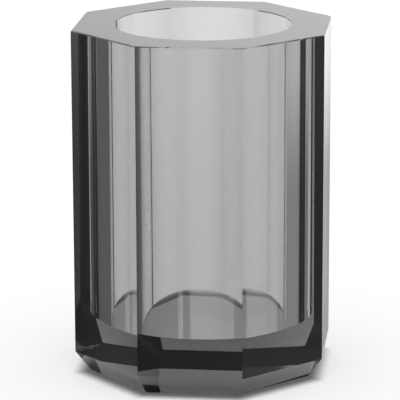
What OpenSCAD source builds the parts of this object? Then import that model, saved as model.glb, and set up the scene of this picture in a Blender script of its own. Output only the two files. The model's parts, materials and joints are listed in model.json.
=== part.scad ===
// Eight-sided smoked-crystal tumbler, in millimetres.
// A bored crystal sleeve stands on a cut and polished crystal base block, and a
// film of clear cured adhesive between their ground faces holds the two as one.
// +Z is up and the origin is the middle of the resting face. One flat side
// faces -Y.

/* [Outside] */
// Height from the resting face to the rim
height = 110; // [92:0.5:140]
// Width across two opposite flat sides
across_flats = 78; // [65:0.5:100]

/* [Hollow] */
// Diameter of the round bore
bore_d = 54.8; // [36:0.2:68]
// Thickness of crystal under the hollow, up to the top face of the base block
floor_t = 17; // [11:0.5:30]

/* [Cut edges] */
// Height of the slanted cut round the foot
foot_cut_h = 7; // [2:0.1:9]
// Depth of the slanted cut at the resting face, measured square to a flat side
foot_cut_in = 5; // [1:0.1:8]
// Leg of the fine polished bevel round the foot
edge_bevel = 0.35; // [0.2:0.05:1]
// Width of the shallow bevel on the rim's outside, seen from above
rim_bevel_in = 0.5; // [0.2:0.05:1]
// Height of the shallow bevel on the rim's outside
rim_bevel_h = 0.25; // [0.1:0.05:1]
// Width of the shallow bevel on the bore's mouth, seen from above
mouth_bevel_in = 0.4; // [0.1:0.05:1]
// Height of the shallow bevel on the bore's mouth
mouth_bevel_h = 0.2; // [0.05:0.05:0.6]

/* [Bond] */
// Thickness of the adhesive film between sleeve and base block
bond_t = 0.1; // [0.05:0.01:0.3]

/* [Hidden] */

sides = 8;
bore_facets = 96;
overrun = 1;

half_flats = across_flats / 2;
foot_half = half_flats - foot_cut_in;
sleeve_z0 = floor_t + bond_t;
// The foot's bevel runs up the slanted cut by the same share of it that it takes in
foot_bevel_h = edge_bevel * foot_cut_h / foot_cut_in;

// Outline of the base block seen square to one pair of its flat sides
base_profile = [
    [foot_half - edge_bevel, 0],
    [foot_half + edge_bevel, foot_bevel_h],
    [half_flats, foot_cut_h],
    [half_flats, floor_t]
];

// Outline of the sleeve, whose rim has a shallow bevel on the outside
sleeve_profile = [
    [half_flats, sleeve_z0],
    [half_flats, height - rim_bevel_h],
    [half_flats - rim_bevel_in, height]
];

function mirrored(profile) =
    [for (i = [len(profile) - 1 : -1 : 0]) [-profile[i].x, profile[i].y]];

// Bar with the given half outline on both of its sides, running along Y
module flat_pair(profile) {
    rotate([90, 0, 0])
        linear_extrude(across_flats * 2, center = true)
            polygon(concat(profile, mirrored(profile)));
}

// Eight-sided block, cut one pair of opposite flat sides at a time
module cut_block(profile) {
    intersection_for(pair = [0 : sides / 2 - 1])
        rotate([0, 0, pair * 360 / sides])
            flat_pair(profile);
}

// Round bore between two heights
module bore(z0, z1) {
    translate([0, 0, z0])
        cylinder(h = z1 - z0, d = bore_d, $fn = bore_facets);
}

// Solid crystal foot, whose top face is the floor of the hollow
module base_block() {
    color([0.30, 0.30, 0.31, 0.8]) cut_block(base_profile);
}

// Ring of clear adhesive as wide as the sleeve's wall, filling the joint
module bond_film() {
    color([0.85, 0.86, 0.86, 0.6])
        difference() {
            cut_block([[half_flats, floor_t], [half_flats, sleeve_z0]]);
            bore(floor_t - overrun, sleeve_z0 + overrun);
        }
}

// Thick-walled crystal sleeve, core-drilled from end to end
module bored_sleeve() {
    color([0.42, 0.42, 0.43, 0.8])
        difference() {
            cut_block(sleeve_profile);
            bore(sleeve_z0 - overrun, height + overrun);
            // Shallow bevel on the bore's mouth
            translate([0, 0, height - mouth_bevel_h])
                cylinder(
                    h = 2 * mouth_bevel_h,
                    d1 = bore_d,
                    d2 = bore_d + 4 * mouth_bevel_in,
                    $fn = bore_facets
                );
        }
}

base_block();
bond_film();
bored_sleeve();
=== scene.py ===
# Eight-sided smoked-crystal tumbler: a bored sleeve bonded to a cut base block.
# Everything is in metres, with +Z up and one flat side facing -Y.
import json
import math

import bmesh
import bpy
from mathutils import Matrix, Vector


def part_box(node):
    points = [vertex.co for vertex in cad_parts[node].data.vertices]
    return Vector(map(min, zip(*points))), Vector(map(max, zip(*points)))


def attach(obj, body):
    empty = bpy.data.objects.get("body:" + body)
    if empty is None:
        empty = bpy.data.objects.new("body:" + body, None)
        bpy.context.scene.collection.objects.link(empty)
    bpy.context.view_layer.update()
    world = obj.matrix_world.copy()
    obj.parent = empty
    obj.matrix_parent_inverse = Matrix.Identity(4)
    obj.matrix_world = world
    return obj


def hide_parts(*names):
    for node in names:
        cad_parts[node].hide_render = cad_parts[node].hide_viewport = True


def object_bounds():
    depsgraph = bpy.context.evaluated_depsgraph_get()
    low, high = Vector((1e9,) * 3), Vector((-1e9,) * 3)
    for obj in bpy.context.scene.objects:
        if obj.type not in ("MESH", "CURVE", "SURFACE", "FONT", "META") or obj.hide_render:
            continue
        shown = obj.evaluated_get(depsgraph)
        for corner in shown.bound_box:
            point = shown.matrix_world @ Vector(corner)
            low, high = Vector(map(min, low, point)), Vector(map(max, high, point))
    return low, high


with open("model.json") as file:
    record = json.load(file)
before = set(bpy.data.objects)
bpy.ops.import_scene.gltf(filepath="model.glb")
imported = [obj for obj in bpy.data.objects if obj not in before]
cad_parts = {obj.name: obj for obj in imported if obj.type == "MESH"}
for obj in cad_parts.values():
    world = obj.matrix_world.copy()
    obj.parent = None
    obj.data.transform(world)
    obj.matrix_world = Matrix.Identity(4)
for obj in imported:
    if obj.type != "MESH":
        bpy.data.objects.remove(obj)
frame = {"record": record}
cad_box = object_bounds()

MM = 0.001
scene = bpy.context.scene

# ---------------------------------------------------------------- camera
# A long lens stands a little to the right of the front flat side and looks
# down at the tumbler by fourteen degrees, so the far rim shows over the near.
CAMERA_AZIMUTH = math.radians(6.324)
CAMERA_TILT = math.radians(14.4403)
CAMERA_ROLL = math.radians(-0.1728)
CAMERA_AWAY = 853.3 * MM
CAMERA_ASIDE = 1.0 * MM
SENSOR_WIDTH = 36
LENS_LENGTH = 243.15
LENS_SHIFT = -0.01365
NEAR_CLIP = 0.05

low, high = cad_box
middle = Vector((0, 0, (low[2] + high[2]) / 2))
back = Vector((
    math.sin(CAMERA_AZIMUTH) * math.cos(CAMERA_TILT),
    -math.cos(CAMERA_AZIMUTH) * math.cos(CAMERA_TILT),
    math.sin(CAMERA_TILT),
))
level = Vector((math.cos(CAMERA_AZIMUTH), math.sin(CAMERA_AZIMUTH), 0))
across = level * math.cos(CAMERA_ROLL) + back.cross(level) * math.sin(CAMERA_ROLL)
aim = middle - level * CAMERA_ASIDE

lens = bpy.data.cameras.new("camera")
lens.sensor_width = SENSOR_WIDTH
lens.lens = LENS_LENGTH
lens.shift_y = LENS_SHIFT
lens.clip_start = NEAR_CLIP
camera = bpy.data.objects.new("camera", lens)
camera.matrix_world = Matrix.Translation(aim + back * CAMERA_AWAY) @ Matrix(
    (across, back.cross(across), back)
).transposed().to_4x4()
scene.collection.objects.link(camera)
scene.camera = camera
scene.view_settings.view_transform = "Standard"

# ------------------------------------------------------------ base block
# A solid block of smoked crystal, sawn eight-sided, ground with a slanted cut
# round its foot and polished all over. Its flat top is the hollow's floor.
SIDES = 8
STATIONS = 256
HALF_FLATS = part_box("base_block")[1][1]
BORE_R = next(
    mount["dims"]["r_mm"] for mount in frame["record"]["mounts"] if mount["name"] == "bore"
) * MM
FLOOR_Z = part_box("base_block")[1][2]
FOOT_CUT_H = 7 * MM
FOOT_CUT_IN = 5 * MM
BEVEL = 0.35 * MM
SHARP_FROM = math.radians(10)


def eight_sided(half, z):
    """Points round an octagon, whose corners fall on stations."""
    slice_angle = 2 * math.pi / SIDES
    points = []
    for i in range(STATIONS):
        turn = 2 * math.pi * i / STATIONS
        off = (turn + slice_angle / 2) % slice_angle - slice_angle / 2
        reach = half / math.cos(off)
        points.append((reach * math.cos(turn), reach * math.sin(turn), z))
    return points


def round_ring(radius, z):
    """Points round a circle, on the same stations as the octagon's."""
    points = []
    for i in range(STATIONS):
        turn = 2 * math.pi * i / STATIONS
        points.append((radius * math.cos(turn), radius * math.sin(turn), z))
    return points


def cut_glass(name, rings, closed_round):
    """Skin a stack of rings; a stack that isn't closed round gets two end faces."""
    mesh = bmesh.new()
    loops = [[mesh.verts.new(point) for point in ring] for ring in rings]
    pairs = list(zip(loops, loops[1:]))
    if closed_round:
        pairs.append((loops[-1], loops[0]))
    else:
        mesh.faces.new(loops[0])
        mesh.faces.new(loops[-1])
    for one, other in pairs:
        for i in range(STATIONS):
            j = (i + 1) % STATIONS
            mesh.faces.new((one[i], one[j], other[j], other[i]))
    bmesh.ops.recalc_face_normals(mesh, faces=mesh.faces)
    data = bpy.data.meshes.new(name)
    mesh.to_mesh(data)
    mesh.free()
    data.shade_smooth()
    data.set_sharp_from_angle(angle=SHARP_FROM)
    piece = bpy.data.objects.new(name, data)
    scene.collection.objects.link(piece)
    return piece


film_low, film_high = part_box("bond_film")
JOINT_Z = (film_low[2] + film_high[2]) / 2
JOINT_SLACK = 0.0005 * MM
JOINT_REACH = (film_high[2] - film_low[2]) / 2 + JOINT_SLACK
LEVEL_ENOUGH = 0.9
GLASS_IOR = 1.49
SMOKE_PER_MM = 0.03
HAZE_PER_MM = 0.2
HAZE_DETAIL = 4
HAZE_STARTS = 0.4
HAZE_FULL = 0.7
HAZE_MOST = 0.02


def wire(tree, kind, *feeds, **settings):
    """A node with its settings made and its inputs fed, in order."""
    node = tree.nodes.new(kind)
    for key, value in settings.items():
        setattr(node, key, value)
    for socket, feed in zip(node.inputs, feeds):
        if isinstance(feed, bpy.types.NodeSocket):
            tree.links.new(feed, socket)
        else:
            socket.default_value = feed
    return node.outputs[0]


def reckon(tree, operation, *feeds):
    """A node that works out one sum."""
    return wire(tree, "ShaderNodeMath", *feeds, operation=operation)


def joined_glass(name, smoke_per_mm):
    """Clear glass that stops bending light on the faces the joint wets."""
    material = bpy.data.materials.new(name)
    material.use_nodes = True
    tree = material.node_tree
    shader = tree.nodes["Principled BSDF"]
    shader.inputs["Base Color"].default_value = (1, 1, 1, 1)
    shader.inputs["Transmission Weight"].default_value = 1
    if smoke_per_mm:
        smoke = tree.nodes.new("ShaderNodeVolumeAbsorption")
        smoke.inputs["Color"].default_value = (0, 0, 0, 1)
        smoke.inputs["Density"].default_value = smoke_per_mm / MM
        tree.links.new(smoke.outputs["Volume"], tree.nodes["Material Output"].inputs["Volume"])

    place = tree.nodes.new("ShaderNodeNewGeometry")
    spot = tree.nodes.new("ShaderNodeSeparateXYZ")
    tree.links.new(place.outputs["Position"], spot.inputs[0])
    facing = tree.nodes.new("ShaderNodeSeparateXYZ")
    tree.links.new(place.outputs["True Normal"], facing.inputs[0])
    height_off = reckon(tree, "ABSOLUTE", reckon(tree, "SUBTRACT", spot.outputs["Z"], JOINT_Z))
    near = reckon(tree, "LESS_THAN", height_off, JOINT_REACH)
    levelness = reckon(tree, "ABSOLUTE", facing.outputs["Z"])
    level_face = reckon(tree, "GREATER_THAN", levelness, LEVEL_ENOUGH)
    square = reckon(
        tree,
        "ADD",
        reckon(tree, "MULTIPLY", spot.outputs["X"], spot.outputs["X"]),
        reckon(tree, "MULTIPLY", spot.outputs["Y"], spot.outputs["Y"]),
    )
    under_wall = reckon(tree, "GREATER_THAN", square, BORE_R ** 2)
    wetted = reckon(tree, "MULTIPLY", reckon(tree, "MULTIPLY", near, level_face), under_wall)
    bend = reckon(tree, "SUBTRACT", GLASS_IOR, reckon(tree, "MULTIPLY", wetted, GLASS_IOR - 1))
    tree.links.new(bend, shader.inputs["IOR"])
    # The polishing wheel leaves a trace of haze in patches a few millimetres wide
    haze = tree.nodes.new("ShaderNodeTexNoise")
    haze.inputs["Scale"].default_value = HAZE_PER_MM / MM
    haze.inputs["Detail"].default_value = HAZE_DETAIL
    tree.links.new(place.outputs["Position"], haze.inputs["Vector"])
    polish = tree.nodes.new("ShaderNodeMapRange")
    polish.inputs["From Min"].default_value = HAZE_STARTS
    polish.inputs["From Max"].default_value = HAZE_FULL
    polish.inputs["To Max"].default_value = HAZE_MOST
    tree.links.new(haze.outputs[0], polish.inputs["Value"])
    tree.links.new(polish.outputs[0], shader.inputs["Roughness"])
    return material


crystal = joined_glass("smoked_crystal", SMOKE_PER_MM)

base_block = cut_glass("crystal_base", [
    eight_sided(HALF_FLATS - FOOT_CUT_IN - BEVEL, 0),
    eight_sided(HALF_FLATS - FOOT_CUT_IN + BEVEL, BEVEL * FOOT_CUT_H / FOOT_CUT_IN),
    eight_sided(HALF_FLATS, FOOT_CUT_H),
    eight_sided(HALF_FLATS, FLOOR_Z),
    round_ring(BORE_R, FLOOR_Z),
], closed_round=False)
base_block.data.materials.append(crystal)
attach(base_block, "root")
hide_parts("base_block")

# ------------------------------------------------------------- bond film
# A tenth of a millimetre of clear acrylic adhesive, run between the ground
# faces and cured under light, which makes the joint vanish.
GAP = 0.005 * MM
adhesive = joined_glass("bond_adhesive", 0)
film = cut_glass("bond_layer", [
    round_ring(BORE_R, film_low[2] + GAP),
    eight_sided(HALF_FLATS, film_low[2] + GAP),
    eight_sided(HALF_FLATS, film_high[2] - GAP),
    round_ring(BORE_R, film_high[2] - GAP),
], closed_round=True)
film.data.materials.append(adhesive)
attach(film, "root")
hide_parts("bond_film")

# ---------------------------------------------------------- bored sleeve
# The body: a thick eight-sided length of the same crystal, core-drilled from
# end to end and polished inside and out, with a shallow bevel round the rim's
# outside and another round the bore's mouth.
RIM_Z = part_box("bored_sleeve")[1][2]
RIM_BEVEL_IN = 0.5 * MM
RIM_BEVEL_H = 0.25 * MM
MOUTH_BEVEL_IN = 0.4 * MM
MOUTH_BEVEL_H = 0.2 * MM
SLEEVE_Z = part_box("bored_sleeve")[0][2]
sleeve = cut_glass("crystal_sleeve", [
    round_ring(BORE_R, SLEEVE_Z),
    eight_sided(HALF_FLATS, SLEEVE_Z),
    eight_sided(HALF_FLATS, RIM_Z - RIM_BEVEL_H),
    eight_sided(HALF_FLATS - RIM_BEVEL_IN, RIM_Z),
    round_ring(BORE_R + MOUTH_BEVEL_IN, RIM_Z),
    round_ring(BORE_R, RIM_Z - MOUTH_BEVEL_H),
], closed_round=True)
sleeve.data.materials.append(crystal)
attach(sleeve, "root")
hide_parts("bored_sleeve")

# ------------------------------------------------------- table and light
# The tumbler stands on a white table in a studio that is white all round.
# A painted glow lights the table where the foot covers it, and painted shade darkens it under
# the slanted cut.
TABLE_HALF = 3.0
TABLE_DROP = 0.02 * MM
TABLE_GLOW = 0.52
TABLE_GREY = 0.52
TABLE_ROUGHNESS = 0.9
# Strength of the painted glow on the table under the foot
FOOT_GLOW = 0.68
FOOT_HALF = HALF_FLATS - FOOT_CUT_IN
# Size of the painted glow patch, and where the painted shade round the foot starts, ends and
# is deepest
GLOW_HALF = FOOT_HALF - BEVEL - 0.2 * MM
SHADE_FROM = FOOT_HALF + 0.8 * MM
SHADE_TO = HALF_FLATS + 2 * MM
SHADE_DEEPEST = 0.18
table_mesh = bmesh.new()
table_mesh.faces.new([
    table_mesh.verts.new((x * TABLE_HALF, y * TABLE_HALF, -TABLE_DROP))
    for x, y in ((-1, -1), (1, -1), (1, 1), (-1, 1))
])
table_data = bpy.data.meshes.new("table")
table_mesh.to_mesh(table_data)
table_mesh.free()
table = bpy.data.objects.new("table", table_data)
scene.collection.objects.link(table)
paint = bpy.data.materials.new("table_painted_glow_and_shade")
paint.use_nodes = True
tree = paint.node_tree
finish = tree.nodes["Principled BSDF"]
finish.inputs["Roughness"].default_value = TABLE_ROUGHNESS
finish.inputs["Specular IOR Level"].default_value = 0
finish.inputs["Emission Color"].default_value = (1, 1, 1, 1)
spot = tree.nodes.new("ShaderNodeNewGeometry").outputs["Position"]
from_axis = 0.0
for pair in range(SIDES // 2):
    turn = 2 * math.pi / SIDES * pair
    dot = tree.nodes.new("ShaderNodeVectorMath")
    dot.operation = "DOT_PRODUCT"
    tree.links.new(spot, dot.inputs[0])
    dot.inputs[1].default_value = (math.cos(turn), math.sin(turn), 0)
    along = reckon(tree, "ABSOLUTE", dot.outputs["Value"])
    from_axis = reckon(tree, "MAXIMUM", along, from_axis)
# A painted glow lights the table just inside the foot's outline
painted_glow_under_foot = reckon(tree, "LESS_THAN", from_axis, GLOW_HALF)
# Painted shade stands in for the little light that gets under the slanted cut; it darkens the
# table's glow and grey, most near the foot
painted_shade = wire(tree, "ShaderNodeMapRange", from_axis, SHADE_FROM, SHADE_TO,
                SHADE_DEEPEST, 1.0, interpolation_type="SMOOTHSTEP")
glow = reckon(tree, "MULTIPLY", painted_shade, TABLE_GLOW)
glow = reckon(tree, "MULTIPLY_ADD", painted_glow_under_foot, FOOT_GLOW, glow)
tree.links.new(glow, finish.inputs["Emission Strength"])
# The table's grey is darkened by the same painted shade
painted_shade_grey = reckon(tree, "MULTIPLY", painted_shade, TABLE_GREY)
tree.links.new(wire(tree, "ShaderNodeCombineXYZ", painted_shade_grey, painted_shade_grey, painted_shade_grey),
               finish.inputs["Base Color"])
table_data.materials.append(paint)

world = bpy.data.worlds.new("studio")
world.use_nodes = True
world.node_tree.nodes["Background"].inputs["Color"].default_value = (1, 1, 1, 1)
world.node_tree.nodes["Background"].inputs["Strength"].default_value = 1.0
scene.world = world

# A low round screen of graded greys stands about the tumbler. Only light that
# a polished face has turned back meets it, so it shades the edges' reflections.
# Its greys were chosen by trial to darken and brighten those reflections.
SCREEN_R = 85 * MM
SCREEN_TOP = 150 * MM
SCREEN_FOOT = 40.5 * MM
SCREEN_LIFT = 0.1 * MM
LOW_TO = 40 * MM
HIGH_FROM = 95 * MM
HIGH_TO = 106 * MM
TOP_FROM = 116 * MM
screen_mesh = bmesh.new()
loops = [[screen_mesh.verts.new(point) for point in ring] for ring in (
    eight_sided(SCREEN_FOOT, SCREEN_LIFT),
    round_ring(SCREEN_R, SCREEN_LIFT),
    round_ring(SCREEN_R, SCREEN_TOP),
)]
for one, other in zip(loops, loops[1:]):
    for i in range(STATIONS):
        j = (i + 1) % STATIONS
        screen_mesh.faces.new((one[i], one[j], other[j], other[i]))
screen_data = bpy.data.meshes.new("screen")
screen_mesh.to_mesh(screen_data)
screen_mesh.free()
screen = bpy.data.objects.new("screen", screen_data)
scene.collection.objects.link(screen)
screen.visible_diffuse = False
screen.visible_shadow = False
grey = bpy.data.materials.new("screen_grey")
grey.use_nodes = True
grey.cycles.emission_sampling = "NONE"
tree = grey.node_tree
tree.nodes.remove(tree.nodes["Principled BSDF"])


def greys(tree, feed, stops):
    """A ramp of plain greys round the compass."""
    ramp = tree.nodes.new("ShaderNodeValToRGB")
    tree.links.new(feed, ramp.inputs["Fac"])
    while len(ramp.color_ramp.elements) < len(stops):
        ramp.color_ramp.elements.new(1.0)
    for element, (degrees, value) in zip(ramp.color_ramp.elements, stops):
        element.position = 0.5 + degrees / 360
        element.color = (value, value, value, 1)
    return ramp.outputs["Color"]


place = tree.nodes.new("ShaderNodeSeparateXYZ")
tree.links.new(tree.nodes.new("ShaderNodeNewGeometry").outputs["Position"], place.inputs[0])
bearing = reckon(tree, "ARCTAN2", place.outputs["X"], place.outputs["Y"])
bearing = reckon(tree, "MULTIPLY_ADD", bearing, 1 / (2 * math.pi), 0.5)
# Bearings in degrees: 0 is behind the tumbler, -90 its left, 90 its right
low_grey = greys(tree, bearing, [
    (-180, 0.32), (-130, 0.38), (-108, 0.33), (-95, 0.2), (-20, 0.2), (-16, 0.25), (-14, 1.4),
    (24, 1.45), (28, 0.5), (65, 0.5), (90, 0.45), (144, 0.48), (180, 0.32),
])
high_grey = greys(tree, bearing, [
    (-180, 0.92), (-130, 0.7), (-108, 0.5), (-95, 0.16), (-50, 0.2), (-32, 0.7), (-14, 1.1),
    (36, 1.2), (65, 1.05), (83, 0.95), (101, 0.65), (144, 0.72), (180, 0.92),
])
top_grey = greys(tree, bearing, [
    (-180, 1), (-54, 1.1), (-29, 1.2), (0, 1.3), (43, 1.4), (108, 1), (180, 1),
])


def fade(tree, feed, start, end, first, second):
    """One grey fading to another as the feed rises from start to end."""
    rise = wire(tree, "ShaderNodeMapRange", feed, start, end, 0.0, 1.0,
                interpolation_type="SMOOTHSTEP")
    mix = tree.nodes.new("ShaderNodeMix")
    mix.data_type = "RGBA"
    # Sockets 6 and 7 take the two colours
    tree.links.new(rise, mix.inputs[0])
    tree.links.new(first, mix.inputs[6])
    tree.links.new(second, mix.inputs[7])
    return mix.outputs[2]


lower = fade(tree, place.outputs["Z"], LOW_TO, HIGH_FROM, low_grey, high_grey)
screen_colour = fade(tree, place.outputs["Z"], HIGH_TO, TOP_FROM, lower, top_grey)
shine = tree.nodes.new("ShaderNodeEmission")
tree.links.new(screen_colour, shine.inputs["Color"])
# Glossy depth counts the times that a polished face has turned the light back
glossy_depth = tree.nodes.new("ShaderNodeLightPath").outputs["Glossy Depth"]
turned = reckon(tree, "GREATER_THAN", glossy_depth, 0.5)
choose = tree.nodes.new("ShaderNodeMixShader")
tree.links.new(turned, choose.inputs[0])
tree.links.new(tree.nodes.new("ShaderNodeBsdfTransparent").outputs[0], choose.inputs[1])
tree.links.new(shine.outputs[0], choose.inputs[2])
tree.links.new(choose.outputs[0], tree.nodes["Material Output"].inputs["Surface"])
screen_data.materials.append(grey)

# Light turns back and forth many times inside thick glass
BOUNCES = 48
scene.cycles.max_bounces = BOUNCES
scene.cycles.glossy_bounces = BOUNCES
scene.cycles.transmission_bounces = BOUNCES
scene.cycles.transparent_max_bounces = BOUNCES
